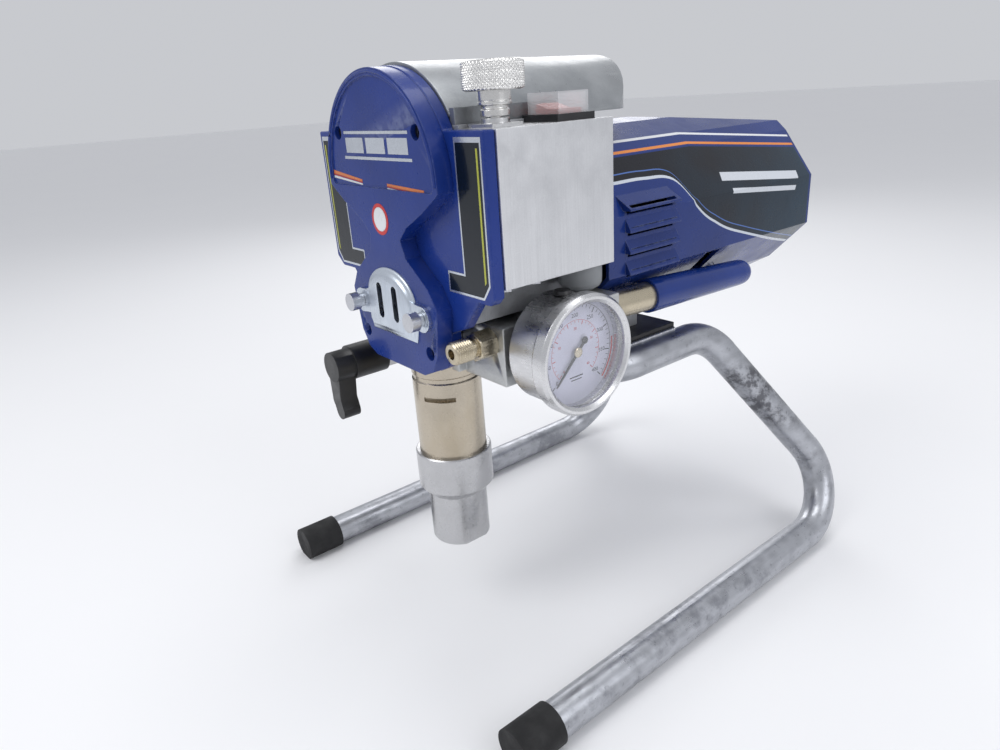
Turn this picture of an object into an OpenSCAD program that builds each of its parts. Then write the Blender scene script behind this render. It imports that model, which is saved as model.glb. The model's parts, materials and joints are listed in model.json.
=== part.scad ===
// Electric airless paint sprayer on a bent-tube skid.
// The front faces -Y, the control box and the gauge are on the +X side, +Z is up,
// and the origin is the middle of the footprint on the floor.

/* [Frame] */
// Outside diameter of the bent frame tube
tube_d = 22.2; // [20:0.2:25]
// Distance from the middle of the part to each skid centreline
skid_x = 130; // [120:1:140]
// Bend radius of the tube at its centreline
bend_r = 38; // [34:1:40]
// Half distance between the two top runs of the tube
rail_x = 62; // [56:1:66]
// Height of the top runs at the tube centreline
rail_z = 166; // [160:1:170]

/* [Pump] */
// Crank radius, half of the piston stroke
crank_r = 7; // [5:0.5:7]
// Outside radius of the pump cylinder
pump_r = 21.8; // [20:0.2:22]
// Radius of the piston rod
rod_r = 7; // [6:0.5:8]

/* [Casings] */
// Half width of the arch on the front cover
arch_r = 57; // [54:0.5:58]
// Height of the arch centre above the floor
arch_z = 295; // [290:1:296]
// Half width of the flange behind the front cover
wing_x = 84; // [80:1:85]
// Wall thickness of the motor shroud
shroud_wall = 2.5; // [2:0.1:3]

/* [Controls] */
// Radius of the knurled pressure knob
knob_r = 15.2; // [14:0.2:16]
// Radius of the gauge bezel
gauge_r = 34; // [33:0.5:35]

/* [Hidden] */
$fn = 64;
eps = 0.01;

// frame
tube_r = tube_d / 2;
tube_wall = 1.5;
tube_fn = 32;
// the straight runs are a hair thinner than the bends and reach a little into them
run_step = 0.1;
bend_lap = 1;
skid_front = -173;
rear_y = 175.5;
skid_corner_y = 181;
rail_corner_y = 72;
cross_y = -40;
cap_len = 28;
cap_wall = 1.5;
plate_z = rail_z + tube_r;
plate_t = 5;
plate_top = plate_z + plate_t;
plate_y = [-48, 40];
pad_x = 34;
pad_y = [-20, 10];
foot_y = [-47, 20];

// planes along Y, from the front to the back
cover_y = -141.5;
flange_y = -131.5;
housing_y = -124.5;
web_y = [-91, -86];
housing_back = -46.5;
shroud_y = -40;

// pump and crank, all on the plane x = 0
pump_y = -109.5;
crank_z = 272;
wrist_z = 228;
pin_r = 4;
eye_r = 6.5;
conrod_t = 8;
fork_floor = 206;
fork_gap = conrod_t / 2 + 0.5;
ear_t = 5.5;
pump_top = 200;
pump_bot = 118;
collar_bot = 98;
foot_top = 92;
foot_bot = 57;
bore_r = 10;
seat_z = 78;
inlet_ball_r = 6;
inlet_seat_r = 4.5;
inlet_ball_z = seat_z + sqrt(inlet_ball_r * inlet_ball_r - inlet_seat_r * inlet_seat_r);
piston_z = 97;
piston_ball_r = 3.5;
piston_seat_r = 2.2;
piston_seat_z = 100;
piston_ball_z = piston_seat_z
    + sqrt(piston_ball_r * piston_ball_r - piston_seat_r * piston_seat_r);

// motor and gears
motor_z = 250;
can_r = 45;
can_y = [housing_back, 104];
stator_y = [-4, 76];
stator_in = 27;
rotor_r = 26;
shaft_r = 5;
fan_r = 44;
first_mod = 1;
pinion_teeth = 10;
wheel_teeth = 50;
final_mod = 1.25;
lay_teeth = 12;
crank_teeth = 60;
first_dist = first_mod * (pinion_teeth + wheel_teeth) / 2;
final_dist = final_mod * (lay_teeth + crank_teeth) / 2;
axis_gap = crank_z - motor_z;
// the layshaft stands where both centre distances meet
lay_dz = (first_dist * first_dist - final_dist * final_dist + axis_gap * axis_gap)
    / (2 * axis_gap);
lay_x = -sqrt(first_dist * first_dist - lay_dz * lay_dz);
lay_z = motor_z + lay_dz;
first_angle = atan2(lay_z - motor_z, lay_x);
final_angle = atan2(crank_z - lay_z, -lay_x);
final_gear_y = [-84, -74];
first_gear_y = [-66, -58];

// casings
housing_x = 55.5;
housing_top = 322;
bonnet_r = 58;
bonnet_z = 296;
bonnet_wall = 2.5;
bonnet_back = 23.5;
tail_x = 54;
tail_len = 45;
tail_power = 2.2;
flange_low = 236;
box_x = [housing_x + 0.5, 85];
box_y = [housing_y, housing_back];
box_z = [243.5, 320];
box_wall = 1.6;
nose_z = 188;
window_z = [213, 240];
screw_r = 3.2;
// depth of the seat under a cover screw, and the height of its head
screw_head = [6, 2.5];
crown_slope = 5.5;
crown_z = 314;
crown_turn = 60;
louvre_n = 4;
louvre_y = [-26, 20];
louvre_step = 12.4;
louvre_top = 267.5;
louvre_out = 4;
shroud_side = 75;
bevel_z = 230;
shroud_screw = [56, 84, 211];

// controls
gland_pos = [70, -58.5];
knob_pos = [68, -111];
knob_z = [336.5, 350];
stem_top_z = 325;
shaft_hole = 3.05;
switch_c = [67.5, -69];
bezel_size = [27, 26, 3.5];
cover_size = [23, 21];
rocker_size = [18, 15];
rocker_pivot_z = 323;
rocker_tilt = 9;

// gauge, with its axis along X
gauge_c = [-82, 200.8];
gauge_back = 70;
gauge_front = 100;
case_r = 31.5;
dial_x = 88;
needle_x = 90.5;
needle_rest = 225;

// fluid manifold and filter
manifold_x = [26, 64];
manifold_z = [181.5, 216];
arm_back = -40.2;
outlet = [52, 206];
outlet_tip = -139;
filter_x = 72;
filter_z = 213.5;
filter_y = -38;
filter_tilt = 2.6;
filter_tube_r = 9;
filter_len = 92;
grip_start = 34;
grip_len = 107;

// prime valve, with its axis along Y
prime_x = -56;
prime_z = 177;
prime_y = [-122, -112];
lever_y = [-161, -147];

// ---------- helpers ----------

function unit(v) = v / norm(v);

// a solid whose own Z runs along direction d from point p, with its X near direction x
module aim(p, d, x = [0, 0, 1]) {
    w = unit(d);
    v = unit(cross(w, x));
    u = cross(v, w);
    multmatrix([[u[0], v[0], w[0], p[0]],
                [u[1], v[1], w[1], p[1]],
                [u[2], v[2], w[2], p[2]],
                [0, 0, 0, 1]])
        children();
}

// cylinder from point a to point b
module rod(a, b, r, fn = 64) {
    aim(a, b - a, abs(unit(b - a)[2]) > 0.9 ? [1, 0, 0] : [0, 0, 1])
        cylinder(r = r, h = norm(b - a), $fn = fn);
}

// cylinder along Y between two planes
module y_rod(x, z, y, r, fn = 64) {
    translate([x, y[0], z])
        rotate([-90, 0, 0])
            cylinder(r = r, h = y[1] - y[0], $fn = fn);
}

// cylinder along X between two planes
module x_rod(y, z, x, r, fn = 64) {
    translate([x[0], y, z])
        rotate([0, 90, 0])
            cylinder(r = r, h = x[1] - x[0], $fn = fn);
}

// box given by its low and high limits on each axis
module span_box(x, y, z) {
    translate([x[0], y[0], z[0]])
        cube([x[1] - x[0], y[1] - y[0], z[1] - z[0]]);
}

// plate whose outline is drawn in X and Z, between two planes of Y
module y_plate(y) {
    translate([0, y[1], 0])
        rotate([90, 0, 0])
            linear_extrude(y[1] - y[0])
                children();
}

module both_sides() {
    children();
    mirror([1, 0, 0])
        children();
}

// spur gear outline with straight-sided teeth and running backlash
function gear_points(teeth, mod) = [
    for (i = [0:teeth - 1])
        for (k = [[-0.29, -1.2], [-0.12, 0.8], [0.12, 0.8], [0.29, -1.2]])
            let (a = (i + k[0]) * 360 / teeth, r = mod * (teeth / 2 + k[1]))
                [r * cos(a), r * sin(a)]];

module y_gear(x, z, y, teeth, mod, turn, bore) {
    translate([x, y[1], z])
        rotate([90, 0, 0])
            difference() {
                rotate([0, 0, turn])
                    linear_extrude(y[1] - y[0])
                        polygon(gear_points(teeth, mod));
                translate([0, 0, -1])
                    cylinder(r = bore, h = y[1] - y[0] + 2);
            }
}

// ---------- frame ----------

// corner points of the whole tube, from the left foot to the right one
frame_half = [
    [skid_x, skid_front, tube_r],
    [skid_x, skid_corner_y, tube_r],
    [rail_x, rail_corner_y, rail_z],
    [rail_x, cross_y, rail_z]];
frame_path = concat([for (p = frame_half) [-p[0], p[1], p[2]]],
    [for (i = [len(frame_half) - 1:-1:0]) frame_half[i]]);

function bend_trim(a, b, c, r) =
    r / tan(acos(unit(a - b) * unit(c - b)) / 2);

// straight run between two corners, shortened for the bends at its ends
module straight(a, b, trim_a, trim_b, r) {
    d = unit(b - a);
    rod(a + d * max(trim_a - bend_lap, 0), b - d * max(trim_b - bend_lap, 0), r, tube_fn);
}

// torus segment that joins the run a-b to the run b-c
module bend(a, b, c, r) {
    u = unit(a - b);
    v = unit(c - b);
    half = acos(u * v) / 2;
    centre = b + unit(u + v) * bend_r / sin(half);
    start = b + u * bend_r / tan(half);
    aim(centre, cross(v, u), start - centre)
        rotate_extrude(angle = 180 - 2 * half, $fn = tube_fn)
            translate([bend_r, 0])
                circle(r = r, $fn = tube_fn);
}

module frame_tube() {
    p = frame_path;
    last = len(p) - 1;
    t = [for (i = [0:last])
        i == 0 || i == last ? 0 : bend_trim(p[i - 1], p[i], p[i + 1], bend_r)];
    color("silver")
        difference() {
            union() {
                for (i = [1:last])
                    straight(p[i - 1], p[i], t[i - 1], t[i], tube_r - run_step);
                for (i = [1:last - 1])
                    bend(p[i - 1], p[i], p[i + 1], tube_r);
            }
            for (side = [-1, 1])
                rod([side * skid_x, skid_front - 1, tube_r],
                    [side * skid_x, skid_front + 200, tube_r], tube_r - tube_wall, tube_fn);
        }
}

// rubber cap pushed over the end of a skid
module foot_cap(side) {
    color("black")
        difference() {
            y_rod(side * skid_x, tube_r, [-rear_y, -rear_y + cap_len], tube_r + cap_wall);
            y_rod(side * skid_x, tube_r, [skid_front, -rear_y + cap_len + 1], tube_r);
            span_box([side * skid_x - 20, side * skid_x + 20], [-rear_y - 1, -100], [-9, 0]);
        }
}

module mounting_plate() {
    color("black")
        difference() {
            span_box([-rail_x + 2, rail_x - 2], plate_y, [plate_z, plate_top]);
            for (x = [-pad_x, pad_x])
                for (y = pad_y)
                    translate([x, y, plate_z - 1])
                        cylinder(r = screw_r, h = plate_t + 2);
        }
}

// bolts from below through the plate into the housing foot
module plate_bolts() {
    color("silver")
        for (x = [-pad_x, pad_x])
            for (y = pad_y) {
                translate([x, y, plate_z - 4])
                    cylinder(r = 5.5, h = 4, $fn = 6);
                translate([x, y, plate_z - eps])
                    cylinder(r = screw_r - 0.1, h = plate_t + 10);
            }
}

// ---------- drive casings ----------

// half disc of radius r about height z, on legs that reach down to low
module arch_outline(r, z, low) {
    intersection() {
        translate([0, z])
            circle(r = r, $fn = 96);
        translate([-r, low])
            square([2 * r, r + z - low]);
    }
    translate([-r, low])
        square([2 * r, z - low]);
}

module gear_housing() {
    color("darkgray")
        difference() {
            union() {
                y_plate([housing_y, housing_back])
                    polygon([[-housing_x, 204], [-48, pump_top], [24, pump_top], [24, 220],
                             [housing_x, 220], [housing_x, housing_top],
                             [-housing_x, housing_top]]);
                span_box([-44, 44], foot_y, [plate_top, 203]);
            }
            // crank chamber, open to the front
            span_box([-40, 40], [housing_y - 1, web_y[0]], [pump_top + 5, 315]);
            // gear chamber
            span_box([-53.4, 50], [web_y[1], housing_back - 6], [pump_top + 5, 317]);
            // crank bearing seat and motor nose seat
            y_rod(0, crank_z, [web_y[0] - 1, web_y[1] + 1], 15);
            y_rod(0, motor_z, [housing_back - 7, housing_back + 1], 12);
            // blind seats of the two rear shaft ends
            y_rod(0, crank_z, [-60, housing_back - 2.5], 5.05);
            y_rod(lay_x, lay_z, [-60, housing_back - 2.5], 5.05);
            y_rod(lay_x, lay_z, [web_y[0] + 1.5, -80], 5.05);
            // piston rod passage
            translate([0, pump_y, pump_top - 1])
                cylinder(r = 13, h = 8);
            // step under the edge of the switch bezel
            span_box([switch_c[0] - bezel_size[0] / 2 - 0.1, housing_x + 1],
                     [switch_c[1] - bezel_size[1] / 2 - 0.1, switch_c[1] + bezel_size[1] / 2 + 0.1],
                     [box_z[1] - 0.1, housing_top + 1]);
            // tapped holes for the plate bolts
            for (x = [-pad_x, pad_x])
                for (y = pad_y)
                    translate([x, y, plate_top - 1])
                        cylinder(r = screw_r - 0.1, h = 11 + eps);
        }
}

// rounded plan outline of the bonnet's tail, drawn in by t
function tail_points(t) = [for (a = [0:7.5:180])
    let (c = cos(a), k = sin(a))
        [sign(c) * (tail_x - t) * pow(abs(c), 2 / tail_power),
         bonnet_back - tail_len + (tail_len - t) * pow(k, 2 / tail_power)]];

module bonnet_solid(front, t) {
    intersection() {
        y_plate([front, bonnet_back + 1])
            intersection() {
                translate([0, bonnet_z])
                    circle(r = bonnet_r - t, $fn = 96);
                translate([-bonnet_r, housing_top + t])
                    square([2 * bonnet_r, 60]);
            }
        translate([0, 0, 300])
            linear_extrude(60)
                polygon(concat([[bonnet_r, -200], [bonnet_r, -80], [tail_x - t, -80]],
                    tail_points(t), [[t - tail_x, -80], [-bonnet_r, -80], [-bonnet_r, -200]]));
    }
}

// grey arched cap over the gear housing, with a rounded tail
module top_bonnet() {
    color("lightgray")
        difference() {
            union() {
                bonnet_solid(housing_y, 0);
                both_sides()
                    span_box([49, 53], [housing_y, housing_back], [housing_top, 330]);
            }
            bonnet_solid(housing_y - 1, bonnet_wall);
            // open below, over the gear housing
            span_box([-49, 49], [housing_y - 1, housing_back], [housing_top - 1, housing_top + 4]);
        }
}

module flange_outline() {
    arch_outline(arch_r + 0.5, arch_z, 240);
    polygon([[-wing_x, 320], [-wing_x, flange_low + 6], [-wing_x + 7, flange_low],
             [-62, flange_low], [-52, 224], [-46, 204], [-38, 192], [-28, nose_z],
             [28, nose_z], [36, 192], [43, 199], [43, 214], [56, 219], [70, flange_low],
             [wing_x - 4, flange_low], [wing_x, flange_low + 4], [wing_x, 320]]);
}

module housing_flange() {
    color("midnightblue")
        difference() {
            y_plate([flange_y, housing_y])
                flange_outline();
            // slot behind the finger guard, down past the pump cylinder
            span_box([-17, 17], [flange_y - 1, housing_y + 1], [nose_z - 1, window_z[1]]);
        }
}

// front face outline, and the same outline drawn in by t for the inside
module cover_outline(t) {
    r = arch_r - t;
    half = [[27 - t / 2, nose_z + t], [36 - t, 192 + t], [42 - t, 202], [46 - t, 229],
            [39 - t, 240], [20 - t, 254], [16 - t, 264], [24 - t, 271.5 + t / 2],
            [42 - t, 281 + t / 2], [53 - t / 2, 288 + t / 2], [r, 291 + t / 2], [r, arch_z]];
    intersection() {
        translate([0, arch_z])
            circle(r = r, $fn = 96);
        translate([-r, arch_z])
            square([2 * r, r]);
    }
    polygon(concat(half, [for (i = [len(half) - 1:-1:0]) [-half[i][0], half[i][1]]]));
}

cover_holes = [[-41, 320], [41, 320], [-35, 203], [35, 203]];

module front_cover() {
    color("mediumblue")
        difference() {
            union() {
                difference() {
                    y_plate([cover_y, flange_y])
                        cover_outline(0);
                    y_plate([cover_y + 2.5, flange_y + 1])
                        cover_outline(2.5);
                    // shallow panel inside the raised arch lip
                    y_plate([cover_y - 1, cover_y + 1])
                        intersection() {
                            cover_outline(4);
                            translate([-60, 291])
                                square([120, 70]);
                        }
                }
                for (p = cover_holes)
                    y_rod(p[0], p[1], [cover_y + 2, flange_y], 6.5);
            }
            // opening behind the finger guard
            span_box([-17, 17], [cover_y - 2, flange_y + 1], window_z);
            // countersunk screw holes
            for (p = cover_holes) {
                y_rod(p[0], p[1], [cover_y - 1, flange_y + 1], 2);
                y_rod(p[0], p[1], [cover_y - 1, cover_y + screw_head[0]], 4);
            }
        }
}

module cover_screws() {
    color("dimgray")
        for (p = cover_holes)
            difference() {
                union() {
                    y_rod(p[0], p[1], [cover_y + screw_head[0] - screw_head[1],
                        cover_y + screw_head[0]], 3.6);
                    y_rod(p[0], p[1], [cover_y + screw_head[0] - eps, flange_y], 1.9);
                }
                y_rod(p[0], p[1], [cover_y, cover_y + screw_head[0] - 1.5], 1.6, 6);
            }
}

// outline of the guard plate, drawn in by t
function guard_points(t) = concat(
    [[t - 23, 208 + t], [23 - t, 208 + t], [25 - t, 214], [25 - t, 228]],
    [for (a = [10:10:170]) [(25 - t) * cos(a), 228 + (18 - t) * sin(a)]],
    [[t - 25, 228], [t - 25, 214]]);

// pressed plate with a rounded top, two ears and two slots
module finger_guard() {
    color("lightsteelblue")
        difference() {
            union() {
                y_plate([cover_y - 3.5, cover_y - 1.5])
                    polygon(guard_points(0));
                y_plate([cover_y - 1.5 - eps, cover_y])
                    difference() {
                        polygon(guard_points(-1));
                        polygon(guard_points(3));
                    }
                for (s = [-1, 1])
                    y_rod(s * 33, 223, [cover_y - 2.5, cover_y], 7.6);
                // web that joins the two ears to the plate
                span_box([-31, 31], [cover_y - 2.4, cover_y - 0.9], [217.5, 228.5]);
            }
            for (s = [-1, 1]) {
                span_box([s * 9.5 - 3.2, s * 9.5 + 3.2], [cover_y - 5, cover_y + 1],
                         [216, 237]);
                y_rod(s * 33, 223, [cover_y - 5, cover_y + 1], 2.1);
            }
        }
}

module guard_thumb_screws() {
    color("silver")
        for (s = [-1, 1]) {
            y_rod(s * 33, 223, [cover_y - 2.5 - 3, cover_y - 2.5], 4);
            y_rod(s * 33, 223, [cover_y - 11, cover_y - 5.5], 5.4);
            y_rod(s * 33, 223, [cover_y - 2.5 - eps, cover_y], 2);
        }
}

// ---------- control box ----------

// folded aluminium box, open towards the gear housing
module control_box() {
    color("silver")
        difference() {
            span_box(box_x, box_y, box_z);
            span_box([box_x[0] - 1, box_x[1] - box_wall],
                     [box_y[0] + box_wall, box_y[1] - box_wall],
                     [box_z[0] + box_wall, box_z[1] - box_wall]);
            translate([knob_pos[0], knob_pos[1], box_z[1] - 3])
                cylinder(r = 5, h = 5);
            span_box([switch_c[0] - 11, switch_c[0] + 11],
                     [switch_c[1] - 10, switch_c[1] + 10], [box_z[1] - 3, box_z[1] + 1]);
            translate([gland_pos[0], gland_pos[1], box_z[0] - 1])
                cylinder(r = 6, h = 4);
            for (y = [-114, -94])
                translate([72, y, box_z[0] - 1])
                    cylinder(r = 2, h = 4);
        }
}

module box_screws() {
    color("gainsboro")
        for (y = [-114, -94]) {
            translate([72, y, box_z[0] - 4])
                cylinder(r = 4, h = 4, $fn = 6);
            translate([72, y, box_z[0] - eps])
                cylinder(r = 1.9, h = 6);
        }
}

module circuit_board() {
    color("darkgreen")
        union() {
            span_box([60, 61.6], [-118, -56], [252, 292]);
            span_box([61.6, 70], [-112, -96], [258, 276]);
            x_rod(-84, 266, [61.6, 76], 6);
            x_rod(-70, 266, [61.6, 76], 6);
            for (y = [-110, -96, -82])
                span_box([61.6, 66], [y, y + 7], [281, 289]);
            // standoffs to the gear housing wall
            for (y = [-116, -60])
                for (z = [255, 289])
                    x_rod(y, z, [housing_x, 60], 2);
        }
}

module pressure_pot() {
    color("dimgray")
        difference() {
            union() {
                translate([knob_pos[0], knob_pos[1], 302])
                    cylinder(r = 8, h = 12);
                translate([knob_pos[0], knob_pos[1], 314 - eps])
                    cylinder(r = 4.8, h = 6 + eps);
            }
            translate([knob_pos[0], knob_pos[1], 305])
                cylinder(r = shaft_hole, h = 20);
        }
}

module knob_bushing() {
    color("silver")
        difference() {
            union() {
                translate([knob_pos[0] - 9.5, knob_pos[1] - 9.5, box_z[1]])
                    cube([19, 19, 1.8]);
                translate([knob_pos[0], knob_pos[1], box_z[1] + 1.8 - eps])
                    cylinder(r = 7, h = 2.4);
            }
            translate([knob_pos[0], knob_pos[1], box_z[1] - 1])
                cylinder(r = shaft_hole, h = 8);
        }
}

// knurled head on a polished stem
module pressure_knob() {
    color("gainsboro")
        translate([knob_pos[0], knob_pos[1], 0]) {
            rotate_extrude()
                polygon([[0, 308], [3, 308], [3, stem_top_z], [7.2, stem_top_z],
                         [7.2, 328], [6.6, 328.6], [6.6, 329.6], [8.3, 330.4],
                         [8.3, knob_z[0]], [knob_r - 0.8, knob_z[0]],
                         [knob_r, knob_z[0] + 0.8], [knob_r, knob_z[1] - 0.8],
                         [knob_r - 0.8, knob_z[1]], [0, knob_z[1]]]);
        }
}

module switch_body() {
    color("black")
        difference() {
            union() {
                translate([switch_c[0] - bezel_size[0] / 2, switch_c[1] - bezel_size[1] / 2,
                           box_z[1]])
                    cube(bezel_size);
                span_box([switch_c[0] - 10.9, switch_c[0] + 10.9],
                         [switch_c[1] - 9.9, switch_c[1] + 9.9], [302, box_z[1] + eps]);
            }
            // pocket for the rocker
            span_box([switch_c[0] - 9.8, switch_c[0] + 9.8],
                     [switch_c[1] - 8, switch_c[1] + 8], [314, box_z[1] + 9]);
            // open seats for the rocker's pins
            y_rod(switch_c[0], rocker_pivot_z, [switch_c[1] - 9.3, switch_c[1] + 9.3], 1.3);
        }
}

// rocker, stored pressed down on its outer end
module switch_rocker() {
    color("red")
        translate([switch_c[0], switch_c[1], rocker_pivot_z])
            rotate([0, rocker_tilt, 0])
                difference() {
                    union() {
                        translate([-rocker_size[0] / 2, -rocker_size[1] / 2, -5])
                            cube([rocker_size[0], rocker_size[1], 9.5]);
                        y_rod(0, 0, [-9, 9], 1.2);
                    }
                    // the two faces meet in a shallow valley
                    for (s = [-1, 1])
                        translate([0, -10, 3])
                            rotate([0, -s * 8, 0])
                                translate([s > 0 ? 0 : -20, 0, 0])
                                    cube([20, 20, 9]);
                }
}

module switch_cover() {
    color([0.9, 0.92, 0.95, 0.4])
        difference() {
            span_box([switch_c[0] - cover_size[0] / 2, switch_c[0] + cover_size[0] / 2],
                     [switch_c[1] - cover_size[1] / 2, switch_c[1] + cover_size[1] / 2],
                     [box_z[1] + bezel_size[2], 334]);
            span_box([switch_c[0] - cover_size[0] / 2 + 1, switch_c[0] + cover_size[0] / 2 - 1],
                     [switch_c[1] - cover_size[1] / 2 + 1, switch_c[1] + cover_size[1] / 2 - 1],
                     [box_z[1] + bezel_size[2] - 1, 333]);
        }
}

// cord inlet gland under the control box
module cable_gland() {
    color("gainsboro")
        translate([gland_pos[0], gland_pos[1], 0])
            rotate_extrude()
                polygon([[4, 229], [8.5, 229], [11, 230.5], [12.2, 232.5], [12.4, 236],
                         [12.4, box_z[0]], [5.9, box_z[0]], [5.9, box_z[0] + 4],
                         [4, box_z[0] + 4]]);
}

// ---------- pressure gauge ----------

module gauge_case() {
    color("silver")
        difference() {
            x_rod(gauge_c[0], gauge_c[1], [gauge_back, gauge_front - 7], case_r);
            x_rod(gauge_c[0], gauge_c[1], [gauge_back + 2, gauge_front], case_r - 1.5);
            // fill hole in the top
            translate([80, gauge_c[0], gauge_c[1] + 20])
                cylinder(r = 4, h = 20);
        }
}

module gauge_bezel() {
    color("gainsboro")
        translate([gauge_front - 7, gauge_c[0], gauge_c[1]])
            rotate([0, 90, 0])
                rotate_extrude()
                    polygon([[case_r, -3], [gauge_r - 1, -3], [gauge_r, -1.5], [gauge_r, 5],
                             [gauge_r - 1.5, 7], [gauge_r - 3, 7], [29.2, 5.5], [29.2, 4],
                             [case_r, 4]]);
}

module gauge_glass() {
    color([0.95, 0.97, 1, 0.25])
        x_rod(gauge_c[0], gauge_c[1], [gauge_front - 6, gauge_front - 3], case_r);
}

module gauge_dial() {
    color("white")
        difference() {
            x_rod(gauge_c[0], gauge_c[1], [dial_x, dial_x + 1], case_r - 1.5);
            x_rod(gauge_c[0], gauge_c[1], [dial_x - 1, dial_x + 2], 1.05);
        }
}

module gauge_needle() {
    color("black")
        translate([needle_x, gauge_c[0], gauge_c[1]])
            rotate([needle_rest, 0, 0])
                rotate([90, 0, 90])
                    union() {
                        linear_extrude(0.8)
                            polygon([[-9, -2], [-9, 2], [0, 0.9], [23, 0.3], [23, -0.3],
                                     [0, -0.9]]);
                        cylinder(r = 3, h = 1.2);
                        translate([0, 0, -6])
                            cylinder(r = 1, h = 7);
                    }
}

module gauge_fill_plug() {
    color("black")
        translate([80, gauge_c[0], 0])
            union() {
                translate([0, 0, gauge_c[1] + case_r - 2.2])
                    cylinder(r = 3.9, h = 2.2);
                translate([0, 0, gauge_c[1] + case_r])
                    cylinder(r1 = 5.2, r2 = 4.4, h = 2);
            }
}

module gauge_adaptor() {
    color("darkkhaki")
        union() {
            x_rod(gauge_c[0], gauge_c[1], [manifold_x[1], 67], 14, 6);
            x_rod(gauge_c[0], gauge_c[1], [67 - eps, gauge_back], 9);
        }
}

// ---------- manifold and filter ----------

module fluid_manifold() {
    color("darkgray")
        difference() {
            union() {
                span_box(manifold_x, [-112, -52], manifold_z);
                span_box([46, 64], [-53, arm_back], [203, 216]);
                span_box([56.5, 83], [-49.5, arm_back], [203, 224]);
                y_rod(filter_x, filter_z, [arm_back - 1, filter_y], 8.8);
                // neck to the pump cylinder
                span_box([12, 27], [-118, -101], [183, 199.5]);
                // round boss behind the gauge adaptor
                x_rod(gauge_c[0], gauge_c[1], [50, manifold_x[1]], 18.5);
            }
            translate([0, pump_y, 150])
                cylinder(r = pump_r, h = 80);
            // outlet port, filter port and the tapped cleaning port below
            y_rod(outlet[0], outlet[1], [-113, -96], 5);
            y_rod(filter_x, filter_z, [-45, -37], 5);
            translate([45, -75, 181])
                cylinder(r = 7, h = 12);
        }
}

module manifold_plug() {
    color("gainsboro")
        union() {
            translate([45, -75, 177])
                cylinder(r = 9.5, h = 4.5, $fn = 6);
            translate([45, -75, 181.5 - eps])
                cylinder(r = 6.95, h = 10);
        }
}

// threaded nipple for the paint hose
module outlet_fitting() {
    color("darkkhaki")
        difference() {
            union() {
                y_rod(outlet[0], outlet[1], [outlet_tip, -127], 6.6);
                y_rod(outlet[0], outlet[1], [-127 - eps, -124], 5.4);
                y_rod(outlet[0], outlet[1], [-124 - eps, -112], 8.6, 6);
                y_rod(outlet[0], outlet[1], [-112 - eps, -102], 4.95);
            }
            y_rod(outlet[0], outlet[1], [outlet_tip - 1, -100], 3);
        }
}

// places a child drawn along +Z onto the filter axis, which droops slightly to the rear
module filter_axis() {
    translate([filter_x, filter_y, filter_z])
        rotate([-90 - filter_tilt, 0, 0])
            children();
}

module filter_tube() {
    color("darkkhaki")
        difference() {
            filter_axis()
                difference() {
                    translate([0, 0, -3])
                        cylinder(r = filter_tube_r, h = filter_len + 3);
                    translate([0, 0, -4])
                        cylinder(r = filter_tube_r - 2.2, h = filter_len);
                }
            span_box([50, 90], [-60, filter_y], [190, 240]);
        }
}

module filter_element() {
    color("gray")
        filter_axis()
            translate([0, 0, 6])
                difference() {
                    cylinder(r = 5.4, h = 74);
                    translate([0, 0, -1])
                        cylinder(r = 3.6, h = 72);
                }
}

// oval moulded sleeve that tapers to a round end
module filter_grip() {
    color("mediumblue")
        filter_axis()
            difference() {
                hull() {
                    translate([0, 0, grip_start])
                        cylinder(r = 10.6, h = 4, $fn = 40);
                    translate([0, 0, grip_start + grip_len - 16])
                        cylinder(r = 8.9, h = 4, $fn = 40);
                    translate([0, 0, grip_start + grip_len - 8.6])
                        sphere(r = 8.6, $fn = 40);
                }
                translate([0, 0, grip_start - 1])
                    cylinder(r = filter_tube_r, h = filter_len - grip_start + 1);
            }
}

// ---------- prime valve ----------

module prime_valve_body() {
    color("silver")
        difference() {
            union() {
                y_rod(prime_x, prime_z, prime_y, 10, 6);
                y_rod(prime_x, prime_z, [-112 - eps, -98], 9);
                x_rod(-106, prime_z, [prime_x, -12], 8);
            }
            translate([0, pump_y, 150])
                cylinder(r = pump_r, h = 80);
            y_rod(prime_x, prime_z, [-125, -104], 3.2);
        }
}

module prime_valve_stem() {
    color("gainsboro")
        union() {
            y_rod(prime_x, prime_z, [-146, -123 + eps], 4.5);
            y_rod(prime_x, prime_z, [-123, -106], 3.12);
        }
}

// black lever with a round hub behind and an arm that hangs down
module prime_lever() {
    color("black")
        difference() {
            union() {
                y_rod(prime_x, prime_z, [-148, -124], 11.5);
                y_rod(prime_x, prime_z, lever_y, 10);
                hull() {
                    y_rod(prime_x, prime_z, [lever_y[0] + 1, lever_y[1] - 1], 7.5, 32);
                    y_rod(prime_x - 1.5, prime_z - 24, [lever_y[0] + 1, lever_y[1] - 1], 5.5, 32);
                }
                hull() {
                    y_rod(prime_x - 1.5, prime_z - 22, [lever_y[0] + 1, lever_y[1] - 1], 5.5, 32);
                    y_rod(prime_x + 1.5, prime_z - 31, [lever_y[0] + 1, lever_y[1] - 1], 5.5, 32);
                }
            }
            y_rod(prime_x, prime_z, [-146, -120], 4.5);
        }
}

// ---------- pump ----------

module pump_cylinder() {
    color("tan")
        difference() {
            translate([0, pump_y, 0])
                rotate_extrude()
                    polygon([[bore_r, pump_bot], [pump_r, pump_bot], [pump_r, 173],
                             [pump_r - 0.8, 173.8], [pump_r - 0.8, 176.2], [pump_r, 177],
                             [pump_r, pump_top], [14, pump_top], [14, 188], [bore_r, 188]]);
            // tool notch in the side
            translate([14, pump_y - 16, 163])
                rotate([0, 0, 45])
                    cube([20, 10, 3], center = true);
        }
}

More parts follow.
